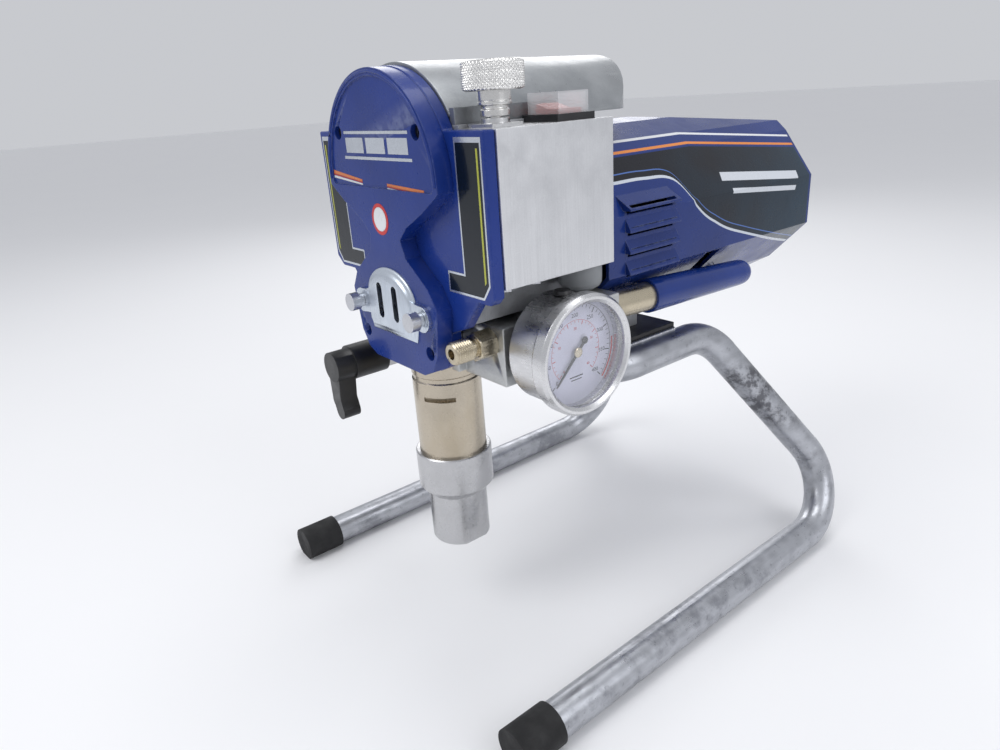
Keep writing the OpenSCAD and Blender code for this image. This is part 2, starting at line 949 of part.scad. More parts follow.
// stacked packing around the piston rod
module packing_seal() {
    color("white")
        translate([0, pump_y, 188])
            difference() {
                cylinder(r = 14, h = 8);
                translate([0, 0, -1])
                    cylinder(r = rod_r + 0.05, h = 10);
            }
}

module pump_collar() {
    color("silver")
        translate([0, pump_y, 0])
            rotate_extrude()
                polygon([[bore_r, foot_top], [19.3, foot_top], [24.7, collar_bot],
                         [24.7, 122.2], [24, 123], [pump_r, 123], [pump_r, pump_bot],
                         [bore_r, pump_bot]]);
}

module foot_valve() {
    color("silver")
        difference() {
            translate([0, pump_y, 0])
                rotate_extrude()
                    polygon([[11, foot_bot], [18.8, foot_bot], [19.3, foot_bot + 0.8],
                             [19.3, foot_top], [7, foot_top], [7, seat_z],
                             [inlet_seat_r, seat_z], [inlet_seat_r, 72], [11, 72]]);
            // spanner flats
            for (s = [-1, 1])
                translate([s * 27, pump_y, foot_bot + 4])
                    cube([20, 60, 14], center = true);
        }
}

module inlet_ball() {
    color("gainsboro")
        translate([0, pump_y, inlet_ball_z])
            sphere(r = inlet_ball_r);
}

// rod, piston head and the fork that takes the connecting rod
module piston_rod() {
    color("gainsboro")
        difference() {
            union() {
                translate([0, pump_y, piston_z])
                    cylinder(r = bore_r - 0.05, h = 9);
                translate([0, pump_y, piston_z])
                    cylinder(r = rod_r, h = 200 - piston_z);
                translate([0, pump_y, 198])
                    cylinder(r = 12, h = fork_floor - 198);
                for (s = [-1, 1]) {
                    a = s > 0 ? fork_gap : -fork_gap - ear_t;
                    span_box([-7, 7], [pump_y + a, pump_y + a + ear_t],
                             [fork_floor - 1, wrist_z]);
                    y_rod(0, wrist_z, [pump_y + a, pump_y + a + ear_t], 7);
                }
            }
            // check valve cage and paint passages
            translate([0, pump_y, piston_seat_z])
                cylinder(r = 4.2, h = 12);
            translate([0, pump_y, piston_z - 1])
                cylinder(r = piston_seat_r, h = 6);
            translate([-20, pump_y, 111])
                rotate([0, 90, 0])
                    cylinder(r = 2, h = 40);
        }
}

module outlet_ball() {
    color("gainsboro")
        translate([0, pump_y, piston_ball_z])
            sphere(r = piston_ball_r);
}

// ---------- crank and gears ----------

module crank_bearing() {
    color("gainsboro")
        y_plate([web_y[0], web_y[1]])
            translate([0, crank_z])
                difference() {
                    circle(r = 15);
                    circle(r = 8.05);
                }
}

module crankshaft() {
    color("gray")
        union() {
            y_rod(0, crank_z, [-98.5, -92.5], 18);
            y_rod(0, crank_z, [-92.5 - eps, final_gear_y[0] + eps], 8);
            y_rod(0, crank_z, [final_gear_y[0], final_gear_y[1]], 7);
            y_rod(0, crank_z, [final_gear_y[1] - eps, -50], 5);
            y_rod(0, crank_z - crank_r, [pump_y - conrod_t / 2 - 3, -98.5 + eps], 5);
        }
}

module crank_gear() {
    color("dimgray")
        y_gear(0, crank_z, final_gear_y, crank_teeth, final_mod,
               final_angle + 180 + 180 / crank_teeth, 7);
}

module connecting_rod() {
    top = crank_z - crank_r;
    y = [pump_y - conrod_t / 2, pump_y + conrod_t / 2];
    color("darkgray")
        difference() {
            union() {
                y_rod(0, top, y, 9.5);
                y_rod(0, wrist_z, y, eye_r);
                span_box([-4.5, 4.5], y, [wrist_z, top]);
            }
            y_rod(0, top, [y[0] - 1, y[1] + 1], 5.05);
            y_rod(0, wrist_z, [y[0] - 1, y[1] + 1], pin_r);
        }
}

module lay_shaft() {
    color("gray")
        union() {
            y_rod(lay_x, lay_z, [-88, -86 + eps], 5);
            y_rod(lay_x, lay_z, [-86, -50], 5);
        }
}

module lay_gears() {
    color("dimgray")
        union() {
            y_gear(lay_x, lay_z, [final_gear_y[0] - 0.5, final_gear_y[1] + 0.5], lay_teeth,
                   final_mod, final_angle, 5);
            y_rod_ring(lay_x, lay_z, [final_gear_y[1] + 0.5, first_gear_y[0]], 8, 5);
            y_gear(lay_x, lay_z, first_gear_y, wheel_teeth, first_mod,
                   first_angle + 180 + 180 / wheel_teeth, 5);
        }
}

module y_rod_ring(x, z, y, r, bore) {
    difference() {
        y_rod(x, z, [y[0] - eps, y[1] + eps], r);
        y_rod(x, z, [y[0] - 1, y[1] + 1], bore);
    }
}

// ---------- motor ----------

module motor_can() {
    color("dimgray")
        difference() {
            union() {
                y_rod(0, motor_z, can_y, can_r);
                // posts for the shroud screws
                both_sides()
                    bevel_axis()
                        translate([0, 0, -25])
                            cylinder(r = 5, h = 25 - shroud_wall - 0.3);
            }
            both_sides()
                bevel_axis()
                    translate([0, 0, -9])
                        cylinder(r = 1.8, h = 9);
            y_rod(0, motor_z, [can_y[0] + 4, can_y[1] - 4], can_r - 2);
            y_rod(0, motor_z, [can_y[0] - 1, can_y[1] + 1], shaft_r + 0.05);
            for (a = [30:60:330])
                y_rod(28 * cos(a), motor_z + 28 * sin(a), [can_y[0] - 1, can_y[0] + 5], 7);
            for (a = [30:60:330])
                y_rod(28 * cos(a), motor_z + 28 * sin(a), [can_y[1] - 5, can_y[1] + 1], 7);
        }
}

module stator() {
    color("peru")
        y_plate(stator_y)
            translate([0, motor_z])
                difference() {
                    circle(r = can_r - 2);
                    circle(r = stator_in);
                    for (a = [45:90:315])
                        rotate(a)
                            translate([stator_in + 2, -6])
                                square([10, 12]);
                }
}

// rotor stack, commutator and shaft with its cut pinion
module armature() {
    color("chocolate")
        union() {
            y_rod(0, motor_z, [stator_y[0], stator_y[1]], rotor_r);
            y_rod(0, motor_z, [stator_y[1] + 4, stator_y[1] + 18], 14);
            y_rod(0, motor_z, [-57.5, 128], shaft_r);
            y_gear(0, motor_z, [first_gear_y[0] - 1, first_gear_y[1] + 1], pinion_teeth,
                   first_mod, first_angle, 1.5);
        }
}

module cooling_fan() {
    color("black")
        difference() {
            union() {
                y_rod(0, motor_z, [108, 124], 11);
                y_rod(0, motor_z, [108, 110], fan_r);
                for (a = [0:40:320])
                    translate([0, 0, motor_z])
                        rotate([0, a, 0])
                            span_box([9, fan_r], [109, 122], [-1.1, 1.1]);
            }
            y_rod(0, motor_z, [100, 130], shaft_r);
        }
}

module rear_bearing() {
    color("gainsboro")
        y_plate([housing_back - 6, housing_back - 0.5])
            translate([0, motor_z])
                difference() {
                    circle(r = 12);
                    circle(r = shaft_r + 0.05);
                }
}

// ---------- motor shroud ----------

// places a child drawn along +Z on the right lower bevel, pointing outwards
module bevel_axis() {
    aim(shroud_screw, [1, 0, -1], [0, 1, 0])
        children();
}

// right half of the section in X and Z, drawn in by t, then mirrored
function shroud_half(t) = [
    [26 - t * 0.3, 190 + t], [46 - t * 0.6, 201 + t * 0.9], [shroud_side - t, bevel_z + t * 0.4],
    [shroud_side - t, 265 - t * 0.4], [52 - t * 0.7, 296 - t * 0.7], [44 - t * 0.5, 303 - t],
    [20, crown_z - 2 - t], [0, crown_z - t]];

function mirrored(p) = concat(p, [for (i = [len(p) - 2:-1:0]) [-p[i][0], p[i][1]]]);

module shroud_solid(y, t) {
    difference() {
        y_plate(y)
            polygon(mirrored(shroud_half(t)));
        // the crown falls away towards the rear
        translate([-90, crown_turn, crown_z - t])
            rotate([-crown_slope, 0, 0])
                cube([180, 200, 30]);
    }
}

// half width of the shroud at height z, above its lower bevel
function shroud_x(z) = z < 265 ? shroud_side : shroud_side - (z - 265) * 23 / 31;

// wedge-shaped hood, reaching inwards through the wall
module louvre(i) {
    z = louvre_top - i * louvre_step;
    translate([0, louvre_y[1], z])
        rotate([90, 0, 0])
            linear_extrude(louvre_y[1] - louvre_y[0])
                polygon([[60, 8], [shroud_x(z + 8), 8], [shroud_side + louvre_out, 1.2],
                         [shroud_side + louvre_out, 0], [60, 0]]);
}

module louvre_slot(i) {
    z = louvre_top - i * louvre_step;
    span_box([shroud_side - 6, shroud_side + 3], [louvre_y[0] + 2, louvre_y[1] - 3],
             [z - 2.2, z + 3]);
}

module motor_shroud() {
    color("mediumblue")
        difference() {
            union() {
                shroud_solid([shroud_y, rear_y], 0);
                both_sides()
                    for (i = [0:louvre_n - 1])
                        louvre(i);
            }
            shroud_solid([shroud_y - 1, rear_y - shroud_wall], shroud_wall);
            both_sides() {
                for (i = [0:louvre_n - 1])
                    louvre_slot(i);
                // vent in the lower bevel
                span_box([52, 80], [54, 69], [214, bevel_z - 1]);
            }
            // cooling slots in the rear face
            for (x = [-36:12:36])
                span_box([x - 2.5, x + 2.5], [rear_y - 6, rear_y + 1], [222, 276]);
            // room for the housing foot
            span_box([-47, 47], [shroud_y - 1, foot_y[1] + 2], [185, 204.5]);
            both_sides()
                bevel_axis()
                    translate([0, 0, -6])
                        cylinder(r = 1.9, h = 12);
        }
}

// screws that hold the shroud to the posts on the motor can
module shroud_screws() {
    color("dimgray")
        both_sides()
            bevel_axis() {
                cylinder(r = 3.5, h = 2.2);
                translate([0, 0, -7])
                    cylinder(r = 1.8, h = 7.1);
            }
}

frame_tube();
foot_cap(-1);  // foot_cap_left
foot_cap(1);  // foot_cap_right
mounting_plate();
plate_bolts();
gear_housing();
top_bonnet();
housing_flange();
front_cover();
cover_screws();
finger_guard();
guard_thumb_screws();
control_box();
box_screws();
circuit_board();
pressure_pot();
knob_bushing();
pressure_knob();
switch_body();
switch_rocker();
switch_cover();
cable_gland();
gauge_case();
gauge_bezel();
gauge_glass();
gauge_dial();
gauge_needle();
gauge_fill_plug();
gauge_adaptor();
fluid_manifold();
manifold_plug();
outlet_fitting();
filter_tube();
filter_element();
filter_grip();
prime_valve_body();
prime_valve_stem();
prime_lever();
pump_cylinder();
packing_seal();
pump_collar();
foot_valve();
inlet_ball();
piston_rod();
outlet_ball();
crank_bearing();
crankshaft();
crank_gear();
connecting_rod();
lay_shaft();
lay_gears();
motor_can();
stator();
armature();
cooling_fan();
rear_bearing();
motor_shroud();
shroud_screws();
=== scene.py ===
"""Airless paint sprayer on a bent-tube skid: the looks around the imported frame."""
import json
import math

import bmesh
import bpy
from mathutils import Matrix, Vector

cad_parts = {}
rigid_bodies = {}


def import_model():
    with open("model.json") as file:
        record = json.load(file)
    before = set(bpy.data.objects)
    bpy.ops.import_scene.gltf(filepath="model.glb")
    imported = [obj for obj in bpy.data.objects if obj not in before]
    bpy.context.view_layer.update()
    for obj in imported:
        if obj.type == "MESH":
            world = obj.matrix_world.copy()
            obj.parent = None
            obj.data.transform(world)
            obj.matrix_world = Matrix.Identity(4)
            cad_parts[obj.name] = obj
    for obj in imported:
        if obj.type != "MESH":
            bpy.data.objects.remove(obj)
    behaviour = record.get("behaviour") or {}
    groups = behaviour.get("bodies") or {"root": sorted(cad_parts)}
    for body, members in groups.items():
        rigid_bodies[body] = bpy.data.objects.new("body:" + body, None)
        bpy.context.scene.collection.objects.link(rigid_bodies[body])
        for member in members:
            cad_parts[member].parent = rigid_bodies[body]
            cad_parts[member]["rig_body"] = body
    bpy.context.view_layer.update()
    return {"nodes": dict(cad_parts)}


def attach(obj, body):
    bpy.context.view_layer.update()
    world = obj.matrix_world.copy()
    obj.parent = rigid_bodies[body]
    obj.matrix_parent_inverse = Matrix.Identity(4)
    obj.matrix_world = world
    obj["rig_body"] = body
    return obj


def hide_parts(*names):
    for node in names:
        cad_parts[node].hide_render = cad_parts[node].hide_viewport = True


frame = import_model()
NODES = frame["nodes"]
SCENE = bpy.context.scene
MM = 0.001

# ---------- camera ----------

CAM_AT = Vector((355.398, -339.338, 335.163)) * MM
CAM_AZ, CAM_EL, CAM_ROLL = (math.radians(a) for a in (52.5443, 21.5009, -4.0134))
CAM_LENS = 25.722


def add_camera():
    back = Vector((math.sin(CAM_AZ) * math.cos(CAM_EL),
                   -math.cos(CAM_AZ) * math.cos(CAM_EL), math.sin(CAM_EL)))
    side = (-back).cross(Vector((0, 0, 1))).normalized()
    over = side.cross(-back)
    right = side * math.cos(CAM_ROLL) + over * math.sin(CAM_ROLL)
    up = over * math.cos(CAM_ROLL) - side * math.sin(CAM_ROLL)
    data = bpy.data.cameras.new("camera")
    data.sensor_width = 36
    data.lens = CAM_LENS
    data.clip_start = 0.01
    obj = bpy.data.objects.new("camera", data)
    SCENE.collection.objects.link(obj)
    obj.matrix_world = Matrix.Translation(CAM_AT) @ Matrix((right, up, back)).transposed().to_4x4()
    SCENE.camera = obj


add_camera()


# ---------- node helpers ----------

def rgba(color):
    """A three-part colour made opaque; sockets and four-part colours pass through."""
    return (*color, 1.0) if isinstance(color, tuple) and len(color) == 3 else color


class Mat:
    """A material under construction: p is the principled shader, co the object coordinates."""

    def __init__(self, name, color, metallic, rough):
        self.m = bpy.data.materials.new(name)
        self.m.use_nodes = True
        self.t = self.m.node_tree
        self.p = self.t.nodes["Principled BSDF"]
        self.co = self.new("ShaderNodeTexCoord").outputs["Object"]
        self.rgb = rgba(color)
        self.p.inputs["Metallic"].default_value = metallic
        self.p.inputs["Roughness"].default_value = rough
        self.rough = rough
        self.normal = None

    def new(self, kind, **attrs):
        node = self.t.nodes.new(kind)
        for key, val in attrs.items():
            setattr(node, key, val)
        return node

    def put(self, socket, source):
        if hasattr(source, "is_linked"):
            self.t.links.new(source, socket)
        else:
            socket.default_value = source

    def math(self, op, a, b=0.0, c=0.0):
        node = self.new("ShaderNodeMath", operation=op)
        for i, v in enumerate((a, b, c)):
            self.put(node.inputs[i], v)
        return node.outputs[0]

    def scaled(self, scale):
        node = self.new("ShaderNodeMapping")
        self.put(node.inputs["Vector"], self.co)
        node.inputs["Scale"].default_value = scale
        return node.outputs[0]

    def noise(self, scale, detail=4.0, stretch=None, rough=0.55):
        node = self.new("ShaderNodeTexNoise")
        self.put(node.inputs["Vector"], self.scaled(stretch) if stretch else self.co)
        node.inputs["Scale"].default_value = scale
        node.inputs["Detail"].default_value = detail
        node.inputs["Roughness"].default_value = rough
        return node.outputs["Fac"]

    def cells(self, scale, stretch=None):
        node = self.new("ShaderNodeTexVoronoi")
        self.put(node.inputs["Vector"], self.scaled(stretch) if stretch else self.co)
        node.inputs["Scale"].default_value = scale
        return node.outputs["Distance"]

    def ramp(self, fac, lo, hi, out_lo=0.0, out_hi=1.0):
        node = self.new("ShaderNodeMapRange", clamp=True)
        for key, val in (("Value", fac), ("From Min", lo), ("From Max", hi),
                         ("To Min", out_lo), ("To Max", out_hi)):
            self.put(node.inputs[key], val)
        return node.outputs["Result"]

    def mix(self, fac, a, b):
        node = self.new("ShaderNodeMix", data_type="RGBA")
        self.put(node.inputs["Factor"], fac)
        self.put(node.inputs["A"], rgba(a))
        self.put(node.inputs["B"], rgba(b))
        return node.outputs["Result"]

    def tint(self, fac, color):
        self.rgb = self.mix(fac, self.rgb, color)

    def bump(self, height, strength, dist=0.001):
        node = self.new("ShaderNodeBump")
        node.inputs["Strength"].default_value = strength
        node.inputs["Distance"].default_value = dist
        self.put(node.inputs["Height"], height)
        if self.normal is not None:
            self.put(node.inputs["Normal"], self.normal)
        self.normal = node.outputs["Normal"]

    def soft_edges(self, radius):
        """Rounds the shading over sharp edges and returns a mask of where they are."""
        node = self.new("ShaderNodeBevel", samples=4)
        node.inputs["Radius"].default_value = radius
        self.normal = node.outputs["Normal"]
        dot = self.new("ShaderNodeVectorMath", operation="DOT_PRODUCT")
        geo = self.new("ShaderNodeNewGeometry")
        self.put(dot.inputs[0], node.outputs["Normal"])
        self.put(dot.inputs[1], geo.outputs["True Normal"])
        return self.ramp(dot.outputs["Value"], 0.99, 0.86)

    def done(self):
        self.put(self.p.inputs["Base Color"], self.rgb)
        self.put(self.p.inputs["Roughness"], self.rough)
        if self.normal is not None:
            self.put(self.p.inputs["Normal"], self.normal)
        return self.m

    def gloss(self, coat, coat_rough=0.08):
        self.p.inputs["Coat Weight"].default_value = coat
        self.p.inputs["Coat Roughness"].default_value = coat_rough


# ---------- materials ----------

def paint(name, color, rough=0.3, coat=0.6, edge=(0.25, 0.3, 0.5), wear=0.35, radius=0.0009):
    """Sprayed gloss paint: orange peel, faint uneven colour, thin paint on the edges."""
    m = Mat(name, color, 0.0, rough)
    m.p.inputs["Specular IOR Level"].default_value = 0.25
    mask = m.soft_edges(radius)
    dark = tuple(c * 0.72 for c in color)
    m.tint(m.ramp(m.noise(14, 3), 0.35, 0.7), dark)
    worn = m.math("MULTIPLY", mask, m.ramp(m.noise(240, 5), 0.42, 0.62))
    m.tint(m.math("MULTIPLY", worn, wear), edge)
    specks = m.ramp(m.noise(900, 2), 0.70, 0.78, 0.0, 0.25)
    m.tint(specks, tuple(min(1, c * 1.7 + 0.05) for c in color))
    m.rough = m.ramp(m.noise(60, 4), 0.3, 0.75, rough * 0.75, rough * 1.4)
    m.bump(m.noise(700, 2), 0.10, 0.0004)
    m.bump(m.noise(120, 2), 0.10, 0.001)
    m.gloss(coat)
    return m


def steel(name, color, rough=0.3, brushed=None, grime=0.25, radius=0.0005, metallic=1.0,
          grain=0.12):
    """Machined or drawn metal: fine lines along one way, stains, and bright worn edges."""
    m = Mat(name, color, metallic, rough)
    mask = m.soft_edges(radius)
    stretch = brushed or (1, 1, 1)
    lines = m.noise(900, 3, stretch)
    m.tint(m.ramp(lines, 0.35, 0.65, 0, 0.25), tuple(c * 0.72 for c in color))
    m.tint(m.ramp(m.noise(38, 5), 0.52, 0.75, 0, grime), tuple(c * 0.38 for c in color))
    m.tint(m.math("MULTIPLY", mask, 0.5), tuple(min(1, c * 1.25 + 0.05) for c in color))
    m.rough = m.math("ADD", m.ramp(m.noise(70, 4), 0.3, 0.7, rough * 0.8, rough * 1.3),
                     m.ramp(lines, 0.3, 0.7, -0.04, 0.05))
    m.bump(lines, grain, 0.0003)
    return m


def plastic(name, color, rough=0.45, grain=0.12, coat=0.0, radius=0.0006):
    """Moulded plastic or rubber with a fine spark-eroded grain and dust in the hollows."""
    m = Mat(name, color, 0.0, rough)
    mask = m.soft_edges(radius)
    m.tint(m.ramp(m.noise(45, 4), 0.45, 0.75, 0, 0.35), tuple(c * 1.5 + 0.015 for c in color))
    m.tint(m.math("MULTIPLY", mask, 0.35), tuple(min(1, c * 1.8 + 0.04) for c in color))
    m.rough = m.ramp(m.noise(90, 3), 0.3, 0.7, rough * 0.8, rough * 1.25)
    m.bump(m.noise(1500, 2), grain, 0.0003)
    if coat:
        m.gloss(coat)
    return m


def cast(name, color, rough=0.5, metallic=0.7):
    """Sand-cast or die-cast alloy: pebbled skin, darker hollows."""
    m = steel(name, color, rough, None, 0.35, 0.001, metallic, 0.05)
    m.bump(m.noise(420, 4), 0.35, 0.0006)
    m.bump(m.cells(160), 0.10, 0.0006)
    return m


def clear(name, color, alpha, rough=0.04):
    m = Mat(name, color, 0.0, rough)
    m.p.inputs["Alpha"].default_value = alpha
    m.p.inputs["IOR"].default_value = 1.5
    m.rough = m.ramp(m.noise(50, 3), 0.4, 0.75, rough, rough * 2.5)
    m.gloss(1.0, 0.03)
    return m.done()


def galvanised():
    m = steel("galvanised", (0.42, 0.43, 0.46), 0.33, (1, 0.12, 1), 0.45, 0.0005, 0.92, 0.10)
    flakes = m.ramp(m.cells(150, (1, 0.6, 1)), 0.15, 0.6, 0.0, 0.22)
    m.tint(flakes, (0.72, 0.74, 0.79))
    m.tint(m.ramp(m.noise(22, 6, None, 0.7), 0.54, 0.64, 0, 0.55), (0.17, 0.175, 0.20))
    m.tint(m.ramp(m.noise(300, 4), 0.62, 0.72, 0, 0.45), (0.11, 0.11, 0.12))
    # a dark mottled patch on the slanted part of the right side
    xyz = m.new("ShaderNodeSeparateXYZ")
    m.put(xyz.inputs[0], m.co)
    x, _, z = xyz.outputs
    patch = m.math("MULTIPLY", m.ramp(z, 0.085, 0.10), m.ramp(z, 0.148, 0.135))
    patch = m.math("MULTIPLY", patch, m.ramp(x, 0.06, 0.075))
    patch = m.math("MULTIPLY", patch, m.ramp(m.noise(95, 6, None, 0.7), 0.44, 0.56))
    m.tint(m.math("MULTIPLY", patch, 0.8), (0.075, 0.075, 0.085))
    m.bump(m.noise(260, 5), 0.22, 0.0005)
    return m.done()


# the shroud's top falls to the rear from this Y, at this slope
CROWN_TURN = 0.060
CROWN_SLOPE = math.radians(5.5)


def shroud_blue():
    """Gloss blue moulding with a black side sticker, its silver border, a thin orange line and a
    thin pale line that is a painted highlight along the upper bevel edge; the sticker turns blue
    towards the rear as a painted sheen.
    """
    m = paint("shroud_blue", (0.010, 0.032, 0.185), 0.28, 0.25)
    xyz = m.new("ShaderNodeSeparateXYZ")
    m.put(xyz.inputs[0], m.co)
    _, y, z = xyz.outputs
    past_turn = m.math("MAXIMUM", m.math("SUBTRACT", y, CROWN_TURN), 0.0)
    drop = m.math("MULTIPLY", past_turn, math.tan(CROWN_SLOPE))
    up = m.math("ADD", z, drop)
    curve = m.new("ShaderNodeFloatCurve")
    m.put(curve.inputs["Value"], m.ramp(y, -0.04, 0.18))
    points = [(-40, 284), (-30.5, 283), (5, 282.5), (27.5, 280), (40.5, 262), (65.5, 247),
              (95, 239.5), (180, 226)]
    cv = curve.mapping.curves[0]
    for i, (py, pz) in enumerate(points):
        at = ((py + 40) / 220, (pz - 200) / 100)
        if i == 0:
            cv.points[0].location = at
        elif i == len(points) - 1:
            cv.points[-1].location = at
        else:
            cv.points.new(*at)
    curve.mapping.update()
    low = m.math("MULTIPLY_ADD", curve.outputs[0], 0.1, 0.2)
    above = m.math("SUBTRACT", up, low)
    rear = m.ramp(y, 0.1735, 0.1725)
    black = m.math("MULTIPLY", m.ramp(above, -0.0001, 0.0001), m.ramp(up, 0.2951, 0.2949))
    black = m.math("MULTIPLY", black, rear)

    def band(value, centre, half):
        return m.math("MULTIPLY", m.ramp(m.math("ABSOLUTE", m.math("SUBTRACT", value, centre)),
                                         half, half - 0.00015), rear)
    # sticker colour: its own black, blended with noise into dark blue towards the rear as a painted
    # sheen
    dark = m.mix(m.ramp(m.math("ADD", m.noise(9, 3), m.math("MULTIPLY", y, 2.6)), 0.62, 1.0),
                 (0.006, 0.007, 0.012), (0.004, 0.028, 0.055))
    m.tint(black, dark)
    m.tint(m.math("MULTIPLY", band(above, -0.0008, 0.0009), 0.95), (0.62, 0.66, 0.72))
    m.tint(m.math("MULTIPLY", band(above, 0.0034, 0.0004), 0.8), (0.10, 0.20, 0.55))
    m.tint(band(up, 0.2972, 0.0008), (0.75, 0.25, 0.05))
    # pale line 303 mm up: painted highlight along the shroud's upper bevel edge, not a printed
    # stripe
    m.tint(band(up, 0.3030, 0.0007), (0.75, 0.76, 0.78))
    # two plain slanted bars
    lean = m.math("SUBTRACT", y, m.math("MULTIPLY", m.math("SUBTRACT", up, 0.275), 0.35))
    for y0, y1, z0, z1 in ((0.074, 0.158, 0.2735, 0.2790), (0.082, 0.158, 0.2655, 0.2690)):
        bar = m.math("MULTIPLY", m.ramp(lean, y0, y0 + 0.0002), m.ramp(lean, y1, y1 - 0.0002))
        tall = m.math("MULTIPLY", m.ramp(up, z0, z0 + 0.0002), m.ramp(up, z1, z1 - 0.0002))
        m.tint(m.math("MULTIPLY", bar, tall), (0.60, 0.63, 0.68))
    return m.done()


def bonnet_grey():
    """Satin metallic grey with soft smudges."""
    m = steel("bonnet_grey", (0.36, 0.375, 0.39), 0.33, None, 0.2, 0.0008, 0.75, 0.04)
    m.tint(m.ramp(m.noise(16, 4, None, 0.6), 0.48, 0.66, 0, 0.55), (0.16, 0.175, 0.19))
    m.tint(m.ramp(m.noise(120, 4, (1, 0.15, 1)), 0.6, 0.75, 0, 0.3), (0.6, 0.62, 0.63))
    m.gloss(0.35, 0.12)
    return m.done()


def brushed_aluminium():
    m = steel("brushed_aluminium", (0.72, 0.725, 0.74), 0.36, (1, 1, 0.03), 0.10, 0.0008,
              0.95, 0.10)
    m.tint(m.ramp(m.noise(1200, 2), 0.45, 0.75, 0, 0.25), (0.86, 0.87, 0.89))
    return m.done()


def cylinder_brass():
    m = steel("cylinder_brass", (0.54, 0.48, 0.39), 0.25, (1, 1, 6), 0.2)
    m.tint(m.ramp(m.noise(30, 4, (1, 1, 0.3)), 0.5, 0.7, 0, 0.4), (0.42, 0.34, 0.22))
    return m.done()


MATS = {
    "galvanised": galvanised(),
    "cap_rubber": plastic("cap_rubber", (0.011, 0.011, 0.012), 0.75, 0.3).done(),
    "black_steel": paint("black_steel", (0.02, 0.02, 0.022), 0.4, 0.2, (0.3, 0.3, 0.3)).done(),
    "zinc_screw": steel("zinc_screw", (0.66, 0.67, 0.70), 0.32).done(),
    "dark_screw": steel("dark_screw", (0.05, 0.05, 0.06), 0.4).done(),
    "cast_grey": cast("cast_grey", (0.44, 0.45, 0.47)).done(),
    "bonnet_grey": bonnet_grey(),
    "blue_paint": paint("blue_paint", (0.010, 0.036, 0.235), 0.28, 0.22).done(),
    "shroud_blue": shroud_blue(),
    "zinc_plate": steel("zinc_plate", (0.66, 0.72, 0.80), 0.30, (1, 1, 0.15)).done(),
    "brushed_aluminium": brushed_aluminium(),
    "board_green": plastic("board_green", (0.01, 0.12, 0.05), 0.4).done(),
    "pot_metal": steel("pot_metal", (0.72, 0.72, 0.72), 0.28).done(),
    "knob_metal": steel("knob_metal", (0.78, 0.77, 0.75), 0.22, None, 0.15).done(),
    "black_plastic": plastic("black_plastic", (0.016, 0.016, 0.018), 0.35).done(),
    "rocker_red": plastic("rocker_red", (0.62, 0.06, 0.03), 0.3, 0.05, 0.4).done(),
    "clear_cover": clear("clear_cover", (0.85, 0.86, 0.88), 0.32),
    "gland_grey": plastic("gland_grey", (0.22, 0.23, 0.24), 0.5).done(),
    "gauge_steel": steel("gauge_steel", (0.72, 0.72, 0.73), 0.27, (0.2, 1, 1), 0.12).done(),
    "gauge_glass": clear("gauge_glass", (0.95, 0.97, 1.0), 0.10, 0.02),
    "dial_white": plastic("dial_white", (0.56, 0.56, 0.68), 0.45, 0.03).done(),
    "needle_black": plastic("needle_black", (0.012, 0.012, 0.014), 0.35, 0.04).done(),
    "brass": steel("brass", (0.60, 0.53, 0.40), 0.28, None, 0.3).done(),
    "manifold_alloy": cast("manifold_alloy", (0.56, 0.57, 0.57), 0.38, 0.9).done(),
    "filter_mesh": steel("filter_mesh", (0.5, 0.5, 0.5), 0.4).done(),
    "grip_blue": paint("grip_blue", (0.007, 0.034, 0.22), 0.22, 0.35, wear=0.1).done(),
    "nickel": steel("nickel", (0.62, 0.62, 0.62), 0.30).done(),
    "lever_black": plastic("lever_black", (0.010, 0.010, 0.011), 0.38, 0.2).done(),
    "cylinder_brass": cylinder_brass(),
    "packing_white": plastic("packing_white", (0.7, 0.7, 0.66), 0.5).done(),
    "pump_steel": steel("pump_steel", (0.56, 0.56, 0.57), 0.26, (1, 1, 5), 0.2).done(),
    "ground_steel": steel("ground_steel", (0.7, 0.7, 0.7), 0.2).done(),
    "gear_steel": steel("gear_steel", (0.4, 0.4, 0.42), 0.35).done(),
    "motor_black": paint("motor_black", (0.02, 0.02, 0.022), 0.45, 0.1).done(),
    "copper_winding": steel("copper_winding", (0.55, 0.22, 0.10), 0.3).done(),
    "fan_black": plastic("fan_black", (0.02, 0.02, 0.02), 0.5).done(),
}


FINISH = {
    "galvanised": "frame_tube", "cap_rubber": "foot_cap_left foot_cap_right",
    "black_steel": "mounting_plate", "zinc_screw": "plate_bolts guard_thumb_screws box_screws"
    " shroud_screws manifold_plug", "dark_screw": "cover_screws", "cast_grey": "gear_housing",
    "bonnet_grey": "top_bonnet", "blue_paint": "housing_flange front_cover",
    "shroud_blue": "motor_shroud", "zinc_plate": "finger_guard",
    "brushed_aluminium": "control_box", "board_green": "circuit_board",
    "pot_metal": "pressure_pot knob_bushing", "knob_metal": "pressure_knob",
    "black_plastic": "switch_body gauge_fill_plug", "rocker_red": "switch_rocker",
    "clear_cover": "switch_cover", "gland_grey": "cable_gland",
    "gauge_steel": "gauge_case gauge_bezel", "gauge_glass": "gauge_glass",
    "dial_white": "gauge_dial", "needle_black": "gauge_needle",
    "brass": "gauge_adaptor outlet_fitting filter_tube", "manifold_alloy": "fluid_manifold",
    "filter_mesh": "filter_element", "grip_blue": "filter_grip",
    "nickel": "prime_valve_body prime_valve_stem", "lever_black": "prime_lever",
    "cylinder_brass": "pump_cylinder", "packing_white": "packing_seal",
    "pump_steel": "pump_collar foot_valve",
    "ground_steel": "inlet_ball outlet_ball piston_rod crankshaft lay_shaft crank_bearing"
    " rear_bearing", "gear_steel": "crank_gear lay_gears connecting_rod",
    "motor_black": "motor_can", "copper_winding": "stator armature", "fan_black": "cooling_fan",
}
SLOT_OF = {node: slot for slot, nodes in FINISH.items() for node in nodes.split()}
